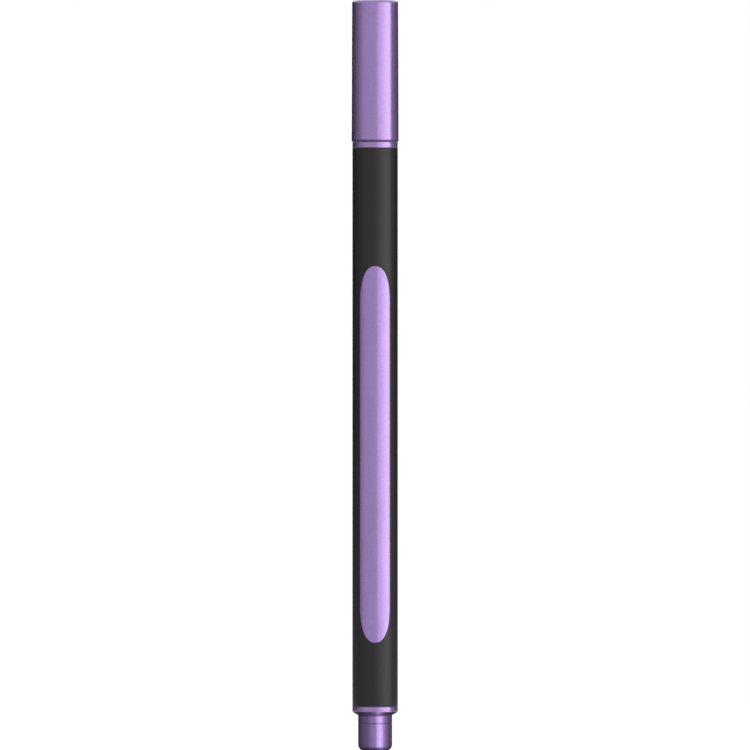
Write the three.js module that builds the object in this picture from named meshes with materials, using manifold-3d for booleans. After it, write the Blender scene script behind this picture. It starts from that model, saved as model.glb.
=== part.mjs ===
// Slim fibre-tip marker with metallic ink, standing on the flat end of its rear plug.
// Millimetres, +Z up along the pen's axis, origin at the middle of the plug's end face.
// The cap points up, the colour panel faces -Y.
// Radii are built from the inside out: each piece adds its own wall and a named clearance to
// what it holds, so a change of one size carries on to everything that fits round it.

import * as THREE from "three";
import { mergeVertices } from "three/addons/utils/BufferGeometryUtils.js";
import Module from "manifold-3d";

// Ink system
const NIB_DIAMETER = 2.4;
const NIB_EXPOSED = 3.4; // what stands out of the nose
const NIB_POINT_LENGTH = 2.0; // rounded bullet end
const NIB_PENETRATION = 8; // stem inside the reservoir
const NIB_TAIL_CONE = 1.2; // pointed rear end of the stem
const NIB_CLEARANCE = 0.03;
const RESERVOIR_DIAMETER = 5.6;
const FILM_THICKNESS = 0.12;
const FILM_CLEARANCE = 0.03;
const RESERVOIR_CLEARANCE = 0.1; // film to spigot bore, and film to barrel ribs
const RESERVOIR_END_GAP = 0.05;

// Front section
const SPIGOT_LENGTH = 9;
const SPIGOT_WALL = 0.6;
const SPIGOT_RELIEF_DEPTH = 0.12; // shallow groove round the middle of the spigot
const SPIGOT_RELIEF_LENGTH = 3;
const PRESS_CLEARANCE = 0.03; // between pieces that are pushed together for good
const RING_HEIGHT = 1.18; // collar seen between cap and barrel
const RING_PROUD = 0.01; // collar and rear flange stand this far out of the barrel's surface
const RING_EDGE = 0.1; // rounding of the collar's and the flange's edges
const GRIP_DIAMETER = 6.74; // and the posting stub's, so that the cap fits both
const GRIP_TAPER = 0.1; // loss of radius towards the nose
const GRIP_LENGTH = 12.5;
const GRIP_WALL = 0.9;
const SNAP_BEAD_RISE = 0.05;
const SNAP_BEAD_LENGTH = 0.9;
const SNAP_BEAD_START = 1.8; // above the collar
const SHOULDER_LENGTH = 2;
const LAND_DIAMETER = 4.4; // sealing land for the inner cap
const LAND_LENGTH = 3;
const NOSE_LENGTH = 2.6;
const NOSE_WALL = 0.35;
const NIB_SUPPORT_DEPTH = 1.5; // the nib's bore starts this far below the shoulder
const AIR_GROOVE_COUNT = 3;
const AIR_GROOVE_WIDTH = 0.4;
const AIR_GROOVE_DEPTH = 0.18;

// Barrel
const BARREL_LENGTH = 110.9;
const BARREL_WALL = 0.83;
const BARREL_EDGE = 0.06; // broken edge at both mouths
const BARREL_RIB_COUNT = 6;
const BARREL_RIB_WIDTH = 0.5;
const BARREL_RIB_SETBACK = 0.6; // from the spigot and from the plug's insert
const RIB_ROOT = 0.3; // how far a rib runs into the wall that carries it

// Colour panel
const PANEL_WIDTH = 6.69; // measured round the barrel
const PANEL_END_LENGTH = 7.45; // each rounded end
const PANEL_TIP_POWER = 0.88; // under 1 the ends are blunter than half ellipses
const PANEL_REAR_MARGIN = 12.69; // black shown below the panel
const PANEL_FRONT_MARGIN = 23.5; // black shown above the panel
const PANEL_THICKNESS = 0.25;
const PANEL_GAP = 0.05; // to its bed, all round and underneath

// Rear plug
const POST_LENGTH = 7.08;
const POST_WALL = 0.9;
const POST_END_WALL = 1.4;
const POST_END_ROUND = 1.2;
const POST_LINE_HEIGHT = 5.38; // fine line round the stub
const POST_LINE_DEPTH = 0.06;
const POST_LINE_WIDTH = 0.16;
const FLANGE_CHAMFER_HEIGHT = 0.58;
const FLANGE_HEIGHT = 1.12;
const INSERT_LENGTH = 6;
const INSERT_WALL = 0.7;
const INSERT_LEAD = 0.3;
const FIN_THICKNESS = 0.6;
const FIN_REACH = 3; // above the insert, up to the reservoir
const FIN_FOOT_DEPTH = 1.5; // below the insert's shoulder

// Cap
const CAP_SEAT_GAP = 0.02; // lip to collar
const CAP_RIB_CLEARANCE = 0.1;
const CAP_RIB_HEIGHT = 0.42;
const CAP_RIB_COUNT = 6;
const CAP_RIB_WIDTH = 0.6;
const CAP_RIB_START = 1.2; // above the lip
const CAP_WALL = 0.8;
const CAP_TAPER = 0.09; // loss of radius from lip to top
const CAP_TOP_WALL = 1.05;
const CAP_TOP_ROUND = 0.7;
const CAP_LIP_BEVEL_DEPTH = 0.3;
const CAP_LIP_BEVEL_HEIGHT = 0.36;
const CAP_LIP_BAND_RISE = 0.012; // faint band above the lip's bevel
const CAP_LIP_BAND_LENGTH = 0.6;
const CAP_LEAD = 0.25; // bevel inside the lip
const NIB_HEADROOM = 2.79;
const SEAL_CLEARANCE = 0.04;
const INNER_CAP_WALL = 0.6;
const INNER_CAP_END_WALL = 0.8;
const INNER_CAP_COLLAR_RISE = 0.3; // flange that stops against the deep ribs
const INNER_CAP_COLLAR_LENGTH = 0.8;
const INNER_CAP_MOUTH_GAP = 0.1; // above the start of the sealing land
const VENT_COUNT = 3;
const VENT_WIDTH = 0.5;
const VENT_ARC_DEG = 40;
const VENT_CLEARANCE = 0.12; // outside the inner cap

// Facets round the axis
const ROUND = 48;
const NIB_ROUND = 32;
const ARC_STEPS = 5;

// Levels along the axis, from the plug's end face up
const flangeChamferTop = POST_LENGTH + FLANGE_CHAMFER_HEIGHT;
const barrelBottom = flangeChamferTop + FLANGE_HEIGHT;
const barrelTop = barrelBottom + BARREL_LENGTH;
const spigotBottom = barrelTop - SPIGOT_LENGTH;
const collarTop = barrelTop + RING_HEIGHT;
const gripTop = collarTop + GRIP_LENGTH;
const landBottom = gripTop + SHOULDER_LENGTH;
const landTop = landBottom + LAND_LENGTH;
const noseTip = landTop + NOSE_LENGTH;
const nibTip = noseTip + NIB_EXPOSED;
const innerCapEnd = nibTip + NIB_HEADROOM;
const innerCapTop = innerCapEnd + INNER_CAP_END_WALL;
const innerCapBottom = landBottom + INNER_CAP_MOUTH_GAP;
const capTop = innerCapTop + CAP_TOP_WALL;
const capLip = collarTop + CAP_SEAT_GAP;
const insertTop = barrelBottom + INSERT_LENGTH;
const finTop = insertTop + FIN_REACH;
const reservoirBottom = finTop + RESERVOIR_END_GAP;
const reservoirTop = barrelTop - RESERVOIR_END_GAP;

// Radii, from the inside out
const nibRadius = NIB_DIAMETER / 2;
const nibBore = nibRadius + NIB_CLEARANCE;
const noseRadius = nibBore + NOSE_WALL;
const landRadius = LAND_DIAMETER / 2;
const gripRadius = GRIP_DIAMETER / 2;
const rodRadius = RESERVOIR_DIAMETER / 2;
const filmBore = rodRadius + FILM_CLEARANCE;
const filmRadius = filmBore + FILM_THICKNESS;
const reservoirWay = filmRadius + RESERVOIR_CLEARANCE;
const spigotRadius = reservoirWay + SPIGOT_WALL;
const barrelBore = spigotRadius + PRESS_CLEARANCE;
const barrelRadius = barrelBore + BARREL_WALL;
const collarRadius = barrelRadius + RING_PROUD;
const postRadius = gripRadius;
const capRibRadius = gripRadius + CAP_RIB_CLEARANCE;
const capBore = capRibRadius + CAP_RIB_HEIGHT;
const capRadius = capBore + CAP_WALL;
const sealBore = landRadius + SEAL_CLEARANCE;
const innerCapRadius = sealBore + INNER_CAP_WALL;

const wasm = await Module();
wasm.setup();

function solidOf(geometry) {
  const bare = geometry.clone();
  bare.deleteAttribute("normal");
  bare.deleteAttribute("uv");
  const merged = mergeVertices(bare, 1e-4);
  const corners = merged.index.array;
  const kept = [];
  for (let i = 0; i < corners.length; i += 3) {
    const [a, b, c] = corners.slice(i, i + 3);
    // a profile's points on the axis leave triangles without an area
    if (a !== b && b !== c && c !== a) {
      kept.push(a, b, c);
    }
  }
  return new wasm.Manifold(
    new wasm.Mesh({
      numProp: 3,
      vertProperties: merged.attributes.position.array,
      triVerts: new Uint32Array(kept),
    }),
  );
}

function geometryOf(solid) {
  const mesh = solid.getMesh();
  const geometry = new THREE.BufferGeometry();
  geometry.setAttribute("position", new THREE.BufferAttribute(mesh.vertProperties, 3));
  geometry.setIndex(new THREE.BufferAttribute(mesh.triVerts, 1));
  const faceted = geometry.toNonIndexed();
  faceted.computeVertexNormals();
  return faceted;
}

// A profile of [radius, height] pairs turned round +Z. Outer faces are listed upwards.
function turned(profile, around = ROUND) {
  const points = profile.map(([radius, height]) => new THREE.Vector2(radius, height));
  return new THREE.LatheGeometry(points, around).rotateX(Math.PI / 2);
}

// Points of a quarter ellipse between two corners of a profile, both ends left out.
// The centre holds the curve's middle; from and to are angles in degrees.
function arc(centre, radial, axial, from, to, steps = ARC_STEPS) {
  const points = [];
  for (let i = 1; i < steps; i += 1) {
    const angle = THREE.MathUtils.degToRad(from + ((to - from) * i) / steps);
    points.push([centre[0] + radial * Math.cos(angle), centre[1] + axial * Math.sin(angle)]);
  }
  return points;
}

// A flat plate given by its outline in the (distance from axis, height) plane,
// centred on that plane and turned to an angle round +Z.
function plate(outline, thickness, angle) {
  const shape = new THREE.Shape(outline.map(([out, up]) => new THREE.Vector2(out, up)));
  return new THREE.ExtrudeGeometry(shape, { depth: thickness, bevelEnabled: false })
    .translate(0, 0, -thickness / 2)
    .rotateX(Math.PI / 2)
    .rotateZ(angle);
}

function rectangle(inner, outer, bottom, top) {
  return [
    [inner, bottom],
    [outer, bottom],
    [outer, top],
    [inner, top],
  ];
}

function aroundAxis(count, make) {
  return Array.from({ length: count }, (_, i) => make((2 * Math.PI * i) / count));
}

// Half the panel's angle at a height, and the heights at which its outline is sampled.
const panelBottom = barrelBottom + PANEL_REAR_MARGIN;
const panelTop = barrelTop - PANEL_FRONT_MARGIN;
const PANEL_COLUMNS = 12;
const PANEL_END_ROWS = 8;

// The panel's block: a long pill drawn on the barrel's skin, between two radii. grow widens the
// outline on every side, so the same shape makes the panel and the bed it lies in.
function panelBlock(innerRadius, outerRadius, grow) {
  const halfAngle = (PANEL_WIDTH / 2 + grow) / barrelRadius;
  const rows = [];
  for (let i = 0; i <= PANEL_END_ROWS; i += 1) {
    const turn = (Math.PI / 2) * (i / PANEL_END_ROWS);
    rows.push({
      height: panelBottom + PANEL_END_LENGTH - (PANEL_END_LENGTH + grow) * Math.cos(turn),
      half: halfAngle * Math.sin(turn) ** PANEL_TIP_POWER,
    });
  }
  for (let i = PANEL_END_ROWS; i >= 0; i -= 1) {
    const turn = (Math.PI / 2) * (i / PANEL_END_ROWS);
    rows.push({
      height: panelTop - PANEL_END_LENGTH + (PANEL_END_LENGTH + grow) * Math.cos(turn),
      half: halfAngle * Math.sin(turn) ** PANEL_TIP_POWER,
    });
  }
  const corner = (row, column, radius) => {
    const angle = rows[row].half * ((2 * column) / PANEL_COLUMNS - 1);
    return [radius * Math.sin(angle), -radius * Math.cos(angle), rows[row].height];
  };
  const positions = [];
  const quad = (a, b, c, d) => positions.push(...a, ...b, ...c, ...a, ...c, ...d);
  for (let r = 0; r + 1 < rows.length; r += 1) {
    for (let c = 0; c < PANEL_COLUMNS; c += 1) {
      quad(
        corner(r, c, outerRadius),
        corner(r, c + 1, outerRadius),
        corner(r + 1, c + 1, outerRadius),
        corner(r + 1, c, outerRadius),
      );
      quad(
        corner(r, c + 1, innerRadius),
        corner(r, c, innerRadius),
        corner(r + 1, c, innerRadius),
        corner(r + 1, c + 1, innerRadius),
      );
    }
    quad(
      corner(r, 0, innerRadius),
      corner(r, 0, outerRadius),
      corner(r + 1, 0, outerRadius),
      corner(r + 1, 0, innerRadius),
    );
    quad(
      corner(r, PANEL_COLUMNS, outerRadius),
      corner(r, PANEL_COLUMNS, innerRadius),
      corner(r + 1, PANEL_COLUMNS, innerRadius),
      corner(r + 1, PANEL_COLUMNS, outerRadius),
    );
  }
  return new THREE.BufferGeometry().setAttribute(
    "position",
    new THREE.Float32BufferAttribute(positions, 3),
  );
}

function joined(base, additions, cuts = []) {
  const whole = additions.reduce((solid, geometry) => solid.add(solidOf(geometry)), solidOf(base));
  return geometryOf(cuts.reduce((solid, geometry) => solid.subtract(solidOf(geometry)), whole));
}

// Round rod of fibre, pointed to a rounded bullet in front and to a short cone behind
function nibGeometry() {
  const bottom = reservoirTop - NIB_PENETRATION;
  const pointBottom = nibTip - NIB_POINT_LENGTH;
  return joined(
    turned(
      [
        [0, bottom],
        [nibRadius / 2, bottom],
        [nibRadius, bottom + NIB_TAIL_CONE],
        [nibRadius, pointBottom],
        ...arc([0, pointBottom], nibRadius, NIB_POINT_LENGTH, 0, 90, 8),
        [0, nibTip],
      ],
      NIB_ROUND,
    ),
    [],
  );
}

// Fibre rod with a socket in front, where the nib's stem has pushed the fibres aside
function reservoirGeometry() {
  const socket = nibRadius + NIB_CLEARANCE;
  const socketBottom = reservoirTop - NIB_PENETRATION - NIB_CLEARANCE;
  return joined(
    turned([
      [0, reservoirBottom],
      [rodRadius, reservoirBottom],
      [rodRadius, reservoirTop],
      [socket, reservoirTop],
      [socket, socketBottom + NIB_TAIL_CONE],
      [nibRadius / 2 + NIB_CLEARANCE, socketBottom],
      [0, socketBottom],
    ]),
    [],
  );
}

function filmGeometry() {
  return joined(
    turned([
      [filmBore, reservoirBottom],
      [filmRadius, reservoirBottom],
      [filmRadius, reservoirTop],
      [filmBore, reservoirTop],
      [filmBore, reservoirBottom],
    ]),
    [],
  );
}

// Spigot, collar, grip, shoulder, sealing land and nose in one moulding, bored right through.
// Grooves beside the nib let air back into the reservoir as ink leaves it.
function frontSectionGeometry() {
  const relief = spigotRadius - SPIGOT_RELIEF_DEPTH;
  const reliefMiddle = (spigotBottom + barrelTop) / 2;
  const reliefTop = reliefMiddle + SPIGOT_RELIEF_LENGTH / 2;
  const reliefBottom = reliefMiddle - SPIGOT_RELIEF_LENGTH / 2;
  const beadBottom = collarTop + SNAP_BEAD_START;
  const gripEnd = gripRadius - GRIP_TAPER;
  const hollow = gripRadius - GRIP_WALL;
  const hollowTop = gripTop - NIB_SUPPORT_DEPTH;
  const body = turned([
    [reservoirWay, spigotBottom],
    [spigotRadius - INSERT_LEAD, spigotBottom],
    [spigotRadius, spigotBottom + INSERT_LEAD],
    [spigotRadius, reliefBottom],
    [relief, reliefBottom + SPIGOT_RELIEF_DEPTH],
    [relief, reliefTop - SPIGOT_RELIEF_DEPTH],
    [spigotRadius, reliefTop],
    [spigotRadius, barrelTop],
    [collarRadius - RING_EDGE, barrelTop],
    ...arc([collarRadius - RING_EDGE, barrelTop + RING_EDGE], RING_EDGE, RING_EDGE, -90, 0, 3),
    [collarRadius, barrelTop + RING_EDGE],
    [collarRadius, collarTop - RING_EDGE],
    ...arc([collarRadius - RING_EDGE, collarTop - RING_EDGE], RING_EDGE, RING_EDGE, 0, 90, 3),
    [collarRadius - RING_EDGE, collarTop],
    [gripRadius, collarTop],
    [gripRadius, beadBottom],
    [gripRadius + SNAP_BEAD_RISE, beadBottom + SNAP_BEAD_LENGTH / 3],
    [gripRadius + SNAP_BEAD_RISE, beadBottom + (2 * SNAP_BEAD_LENGTH) / 3],
    [gripRadius, beadBottom + SNAP_BEAD_LENGTH],
    [gripEnd, gripTop],
    ...arc([landRadius, gripTop], gripEnd - landRadius, SHOULDER_LENGTH, 0, 90),
    [landRadius, landBottom],
    [landRadius, landTop],
    ...arc([noseRadius, landTop], landRadius - noseRadius, NOSE_LENGTH / 2, 0, 60, 4),
    [noseRadius, noseTip],
    [nibBore, noseTip],
    [nibBore, hollowTop],
    [hollow, hollowTop - (hollow - nibBore)],
    [hollow, barrelTop],
    [reservoirWay, barrelTop],
    [reservoirWay, spigotBottom],
  ]);
  const grooves = aroundAxis(AIR_GROOVE_COUNT, (angle) =>
    plate(
      rectangle(nibRadius, nibBore + AIR_GROOVE_DEPTH, hollowTop - (hollow - nibBore), noseTip + 1),
      AIR_GROOVE_WIDTH,
      angle + Math.PI / 2,
    ),
  );
  return joined(body, [], grooves);
}

// Extruded tube with thin ribs inside that hold the film off the wall, and the panel's bed
function barrelGeometry() {
  const edge = BARREL_EDGE;
  const tube = turned([
    [barrelBore, barrelBottom],
    [barrelRadius - edge, barrelBottom],
    [barrelRadius, barrelBottom + edge],
    [barrelRadius, barrelTop - edge],
    [barrelRadius - edge, barrelTop],
    [barrelBore, barrelTop],
    [barrelBore, barrelBottom],
  ]);
  const ribs = aroundAxis(BARREL_RIB_COUNT, (angle) =>
    plate(
      rectangle(
        reservoirWay,
        barrelBore + RIB_ROOT,
        insertTop + BARREL_RIB_SETBACK,
        spigotBottom - BARREL_RIB_SETBACK,
      ),
      BARREL_RIB_WIDTH,
      angle,
    ),
  );
  const bedFloor = barrelRadius - PANEL_THICKNESS - PANEL_GAP;
  return joined(tube, ribs, [panelBlock(bedFloor, barrelRadius + 1, PANEL_GAP)]);
}

function panelGeometry() {
  return joined(panelBlock(barrelRadius - PANEL_THICKNESS, barrelRadius, 0), []);
}

// Posting stub, chamfered flange and insert in one hollow moulding, open towards the barrel.
// Crossed fins rise from the insert and stop the reservoir from sliding back.
function endPlugGeometry() {
  const foot = postRadius - POST_END_ROUND;
  const line = POST_LINE_WIDTH / 2;
  const insertBore = spigotRadius - INSERT_WALL;
  const stubBore = postRadius - POST_WALL;
  const body = turned([
    [0, 0],
    [foot, 0],
    ...arc([foot, POST_END_ROUND], POST_END_ROUND, POST_END_ROUND, -90, 0, 6),
    [postRadius, POST_END_ROUND],
    [postRadius, POST_LINE_HEIGHT - line],
    [postRadius - POST_LINE_DEPTH, POST_LINE_HEIGHT],
    [postRadius, POST_LINE_HEIGHT + line],
    [postRadius, POST_LENGTH],
    [collarRadius, flangeChamferTop],
    [collarRadius, barrelBottom - RING_EDGE],
    ...arc([collarRadius - RING_EDGE, barrelBottom - RING_EDGE], RING_EDGE, RING_EDGE, 0, 90, 3),
    [collarRadius - RING_EDGE, barrelBottom],
    [spigotRadius, barrelBottom],
    [spigotRadius, insertTop - INSERT_LEAD],
    [spigotRadius - INSERT_LEAD, insertTop],
    [insertBore, insertTop],
    [insertBore, barrelBottom],
    [stubBore, barrelBottom - (insertBore - stubBore)],
    [stubBore, POST_END_WALL],
    [0, POST_END_WALL],
  ]);
  const fin = [
    [-insertBore - RIB_ROOT, insertTop - FIN_FOOT_DEPTH],
    [insertBore + RIB_ROOT, insertTop - FIN_FOOT_DEPTH],
    [insertBore + RIB_ROOT, insertTop - INSERT_LEAD],
    [filmRadius, insertTop],
    [filmRadius, finTop],
    [-filmRadius, finTop],
    [-filmRadius, insertTop],
    [-insertBore - RIB_ROOT, insertTop - INSERT_LEAD],
  ];
  return joined(body, [0, Math.PI / 2].map((angle) => plate(fin, FIN_THICKNESS, angle)));
}

// Sleeve closed on top, flanged at its mouth, that keeps the nib's air closed in
function innerCapGeometry() {
  const flange = innerCapRadius + INNER_CAP_COLLAR_RISE;
  const flangeTop = innerCapBottom + INNER_CAP_COLLAR_LENGTH;
  return joined(
    turned([
      [sealBore + CAP_LEAD, innerCapBottom],
      [flange, innerCapBottom],
      [flange, flangeTop],
      [innerCapRadius, flangeTop],
      [innerCapRadius, innerCapTop],
      [0, innerCapTop],
      [0, innerCapEnd],
      [sealBore, innerCapEnd],
      [sealBore, innerCapBottom + CAP_LEAD],
      [sealBore + CAP_LEAD, innerCapBottom],
    ]),
    [],
  );
}

// Slot through the cap's top beside the inner cap, following the rim
function ventGeometry(angle) {
  const inner = innerCapRadius + VENT_CLEARANCE;
  const half = THREE.MathUtils.degToRad(VENT_ARC_DEG) / 2;
  const shape = new THREE.Shape()
    .absarc(0, 0, inner + VENT_WIDTH, -half, half, false)
    .absarc(0, 0, inner, half, -half, true);
  return new THREE.ExtrudeGeometry(shape, {
    depth: CAP_TOP_WALL + 2,
    bevelEnabled: false,
    curveSegments: 5,
  })
    .rotateZ(angle)
    .translate(0, 0, innerCapTop - 1);
}

// Outer cap: a drafted cup with a bevelled lip, ribs that steady it on the grip and hold the
// inner cap, and air vents in the top, as a slim pen's cap needs.
function capShellGeometry() {
  const topRadius = capRadius - CAP_TAPER;
  const lipTop = capLip + CAP_LIP_BEVEL_HEIGHT;
  const body = turned([
    [capBore + CAP_LEAD, capLip],
    [capRadius - CAP_LIP_BEVEL_DEPTH, capLip],
    [capRadius, lipTop],
    [capRadius + CAP_LIP_BAND_RISE, lipTop + CAP_LIP_BAND_LENGTH / 2],
    [capRadius, lipTop + CAP_LIP_BAND_LENGTH],
    [topRadius, capTop - CAP_TOP_ROUND],
    ...arc([topRadius - CAP_TOP_ROUND, capTop - CAP_TOP_ROUND], CAP_TOP_ROUND, CAP_TOP_ROUND, 0, 90, 4),
    [topRadius - CAP_TOP_ROUND, capTop],
    [0, capTop],
    [0, innerCapTop],
    [capBore - CAP_TAPER, innerCapTop],
    [capBore, capLip + CAP_LEAD],
    [capBore + CAP_LEAD, capLip],
  ]);
  const grasp = innerCapRadius + PRESS_CLEARANCE;
  const graspBottom = innerCapBottom + INNER_CAP_COLLAR_LENGTH + PRESS_CLEARANCE;
  const root = capBore + RIB_ROOT;
  const rib = [
    [capRibRadius + CAP_LEAD, capLip + CAP_RIB_START],
    [root, capLip + CAP_RIB_START],
    [root, innerCapTop + RIB_ROOT],
    [grasp, innerCapTop + RIB_ROOT],
    [grasp, graspBottom],
    [capRibRadius, graspBottom],
    [capRibRadius, capLip + CAP_RIB_START + CAP_LEAD],
  ];
  const ribs = aroundAxis(CAP_RIB_COUNT, (angle) => plate(rib, CAP_RIB_WIDTH, angle));
  const betweenRibs = Math.PI / CAP_RIB_COUNT;
  const vents = aroundAxis(VENT_COUNT, (angle) => ventGeometry(angle - betweenRibs));
  return joined(body, ribs, vents);
}

const pigmentedPlastic = { color: 0x9478b2, roughness: 0.32, metalness: 0.6 };

function piece(name, geometry, look) {
  const mesh = new THREE.Mesh(geometry, new THREE.MeshStandardMaterial(look));
  mesh.name = name;
  return mesh;
}

const penBody = new THREE.Group();
penBody.add(
  piece("barrel", barrelGeometry(), { color: 0x1c1c1d, roughness: 0.42, metalness: 0.1 }),
  piece("colour_panel", panelGeometry(), pigmentedPlastic),
  piece("front_section", frontSectionGeometry(), pigmentedPlastic),
  piece("nib", nibGeometry(), { color: 0x6a5580, roughness: 0.9, metalness: 0.1 }),
  piece("ink_reservoir", reservoirGeometry(), { color: 0x806c9c, roughness: 0.95, metalness: 0 }),
  piece("reservoir_film", filmGeometry(), { color: 0xdedbe2, roughness: 0.3, metalness: 0 }),
  piece("end_plug", endPlugGeometry(), pigmentedPlastic),
);

const cap = new THREE.Group();
cap.add(
  piece("cap_shell", capShellGeometry(), pigmentedPlastic),
  piece("inner_cap", innerCapGeometry(), { color: 0xe4e2de, roughness: 0.5, metalness: 0 }),
);

const marker = new THREE.Group();
marker.add(penBody, cap);

export default marker;
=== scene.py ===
import math

import bmesh
import bpy
import numpy as np
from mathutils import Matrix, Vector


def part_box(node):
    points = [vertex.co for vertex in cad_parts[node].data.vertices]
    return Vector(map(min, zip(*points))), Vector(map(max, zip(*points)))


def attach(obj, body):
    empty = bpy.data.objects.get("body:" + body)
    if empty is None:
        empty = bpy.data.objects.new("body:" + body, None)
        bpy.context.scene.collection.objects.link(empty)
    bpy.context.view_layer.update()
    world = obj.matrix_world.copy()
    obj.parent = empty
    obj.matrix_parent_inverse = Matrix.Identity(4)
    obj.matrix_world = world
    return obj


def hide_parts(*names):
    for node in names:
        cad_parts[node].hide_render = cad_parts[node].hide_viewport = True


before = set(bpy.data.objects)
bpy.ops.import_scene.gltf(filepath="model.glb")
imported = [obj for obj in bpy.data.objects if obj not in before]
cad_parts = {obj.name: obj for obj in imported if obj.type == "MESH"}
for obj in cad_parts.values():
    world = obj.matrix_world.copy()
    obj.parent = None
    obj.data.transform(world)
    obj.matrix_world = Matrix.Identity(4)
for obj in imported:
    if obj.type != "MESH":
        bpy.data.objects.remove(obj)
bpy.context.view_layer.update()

# Slim capped marker with metallic ink: its visible pieces, finishes, studio and camera.
# Shapes are worked out in millimetres about the pen's axis and put into metres at the end.

MM = 0.001

# Columns round the axis, two degrees each, and across the panel's face. A bend between two faces
# that is sharper than CREASE stays an edge.
AROUND = 180
FACE_COLUMNS = 15
FULL_TURN = 2 * math.pi
CREASE = math.radians(32)

# Colours, linear
PURPLE = (0.283, 0.152, 0.456)
PURPLE_LIGHT = (0.62, 0.48, 0.8)
PURPLE_DEEP = (0.2, 0.105, 0.33)
# The next colour is the dark purple of the painted shade bands.
PURPLE_PAINTED_SHADE = (0.13, 0.07, 0.21)
BLACK = (0.005, 0.005, 0.0055)
INK_DARK = (0.075, 0.042, 0.12)
INK_LIGHT = (0.3, 0.2, 0.42)
ROD_LIGHT = (0.5, 0.42, 0.6)
NATURAL = (0.74, 0.73, 0.69)
FILM_PALE = (0.7, 0.68, 0.74)
FILM_GREY = (0.6, 0.56, 0.66)

# Rows that keep the normals of a straight wall: beside a rounding, and on the nib above the nose
WALL_ROW = 0.05
NIB_ROW = 0.4

# Ink feed and nib, millimetres
NIB_POINT_LENGTH = 2.0
NIB_TAIL_CONE = 1.2
NIB_CLEARANCE = 0.03
NOSE_WALL = 0.35
NOSE_EDGE = 0.08
LAND_RADIUS = 2.2
LAND_LENGTH = 3.0
NOSE_LENGTH = 2.6
SHOULDER_LENGTH = 2.0
GRIP_RADIUS = 3.37
GRIP_TAPER = 0.1
GRIP_WALL = 0.9
COLLAR_HEIGHT = 1.18
COLLAR_EDGE = 0.1
GRIP_FILLET = 0.1
SNAP_RISE = 0.05
SNAP_START = 1.8
SNAP_LENGTH = 0.9
RESERVOIR_WAY = 3.05
SPIGOT_RADIUS = 3.65
SPIGOT_RELIEF = 0.12
SPIGOT_RELIEF_LENGTH = 3.0
NIB_SUPPORT = 1.5
AIR_GROOVES = 3
AIR_GROOVE_WIDTH = 0.4
AIR_GROOVE_DEPTH = 0.18

# Barrel and panel
BARREL_BORE = 3.68
BARREL_EDGE = 0.07
BARREL_RIBS = 6
BARREL_RIB_WIDTH = 0.5
BARREL_RIB_SETBACK = 0.6
PANEL_WIDTH = 6.69
PANEL_END_LENGTH = 7.45
PANEL_TIP_POWER = 0.88
PANEL_THICKNESS = 0.25
PANEL_GAP = 0.05
PANEL_EDGE = 0.05
RIB_ROOT = 0.3

# Rear plug
POST_LENGTH = 7.08
POST_WALL = 0.9
POST_END_WALL = 1.4
POST_END_ROUND = 1.2
POST_LINE_HEIGHT = 5.38
POST_LINE_DEPTH = 0.06
POST_LINE_WIDTH = 0.16
POST_FILLET = 0.06
CHAMFER_HEIGHT = 0.6
CHAMFER_EDGE = 0.25
FLANGE_EDGE = 0.1
INSERT_LENGTH = 6.0
INSERT_WALL = 0.7
INSERT_LEAD = 0.3
FIN_THICKNESS = 0.6
FIN_FOOT = 1.5
FILM_RADIUS = 2.95

# Cap
CAP_RADIUS = 4.69
CAP_TAPER = 0.09
CAP_BORE = 3.89
CAP_TOP_ROUND = 0.62
CAP_LIP_ROUND_DEPTH = 0.12
CAP_LIP_ROUND_HEIGHT = 0.38
CAP_LIP_BAND_LENGTH = 0.6
CAP_LIP_LINE = 0.42
CAP_LEAD = 0.25
CAP_RIBS = 6
CAP_RIB_WIDTH = 0.6
CAP_RIB_RADIUS = 3.47
CAP_RIB_START = 1.2
VENTS = 3
VENT_ARC = math.radians(40)
VENT_WIDTH = 0.5
VENT_CLEARANCE = 0.12
SEAL_BORE = 2.24
INNER_CAP_RADIUS = 2.84
INNER_CAP_FLANGE = 0.3
INNER_CAP_FLANGE_LENGTH = 0.8
INNER_CAP_END_WALL = 0.8
INNER_CAP_EDGE = 0.1
INNER_CAP_ROUND = 0.3
PRESS_CLEARANCE = 0.03


def span(node):
    """Lowest and highest level of a CAD node, in millimetres."""
    low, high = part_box(node)
    return low.z / MM, high.z / MM


def reach(node):
    """Largest distance of a round CAD node from the axis, in millimetres."""
    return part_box(node)[1].x / MM


PLUG_BOTTOM, FIN_TOP = span("end_plug")
BARREL_BOTTOM, BARREL_TOP = span("barrel")
SPIGOT_BOTTOM, NOSE_TIP = span("front_section")
PANEL_BOTTOM, PANEL_TOP = span("colour_panel")
NIB_TAIL, NIB_TIP = span("nib")
CAP_LIP, CAP_TOP = span("cap_shell")
INNER_CAP_MOUTH, INNER_CAP_TOP = span("inner_cap")
BARREL_RADIUS = reach("barrel")
COLLAR_RADIUS = reach("front_section")
CAP_BAND_RADIUS = reach("cap_shell")
NIB_RADIUS = reach("nib")
LAND_TOP = NOSE_TIP - NOSE_LENGTH
LAND_BOTTOM = LAND_TOP - LAND_LENGTH
GRIP_TOP = LAND_BOTTOM - SHOULDER_LENGTH
COLLAR_TOP = BARREL_TOP + COLLAR_HEIGHT
POST_RADIUS = GRIP_RADIUS
PLUG_RADIUS = COLLAR_RADIUS
INSERT_TOP = BARREL_BOTTOM + INSERT_LENGTH


# Shapes

def line(*rows):
    """Rows of (radius, height), as given."""
    return np.array(rows, float)


def wall(radius, heights):
    """A straight wall: rows at one radius."""
    return np.column_stack([np.full(len(heights), radius), heights])


def arc(centre, radial, axial, start, end, steps=8):
    """An elliptical arc: centre + (radial cos a, axial sin a), a running from start to end degrees."""
    a = np.radians(np.linspace(start, end, steps + 1))
    return np.column_stack([centre[0] + radial * np.cos(a), centre[1] + axial * np.sin(a)])


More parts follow.
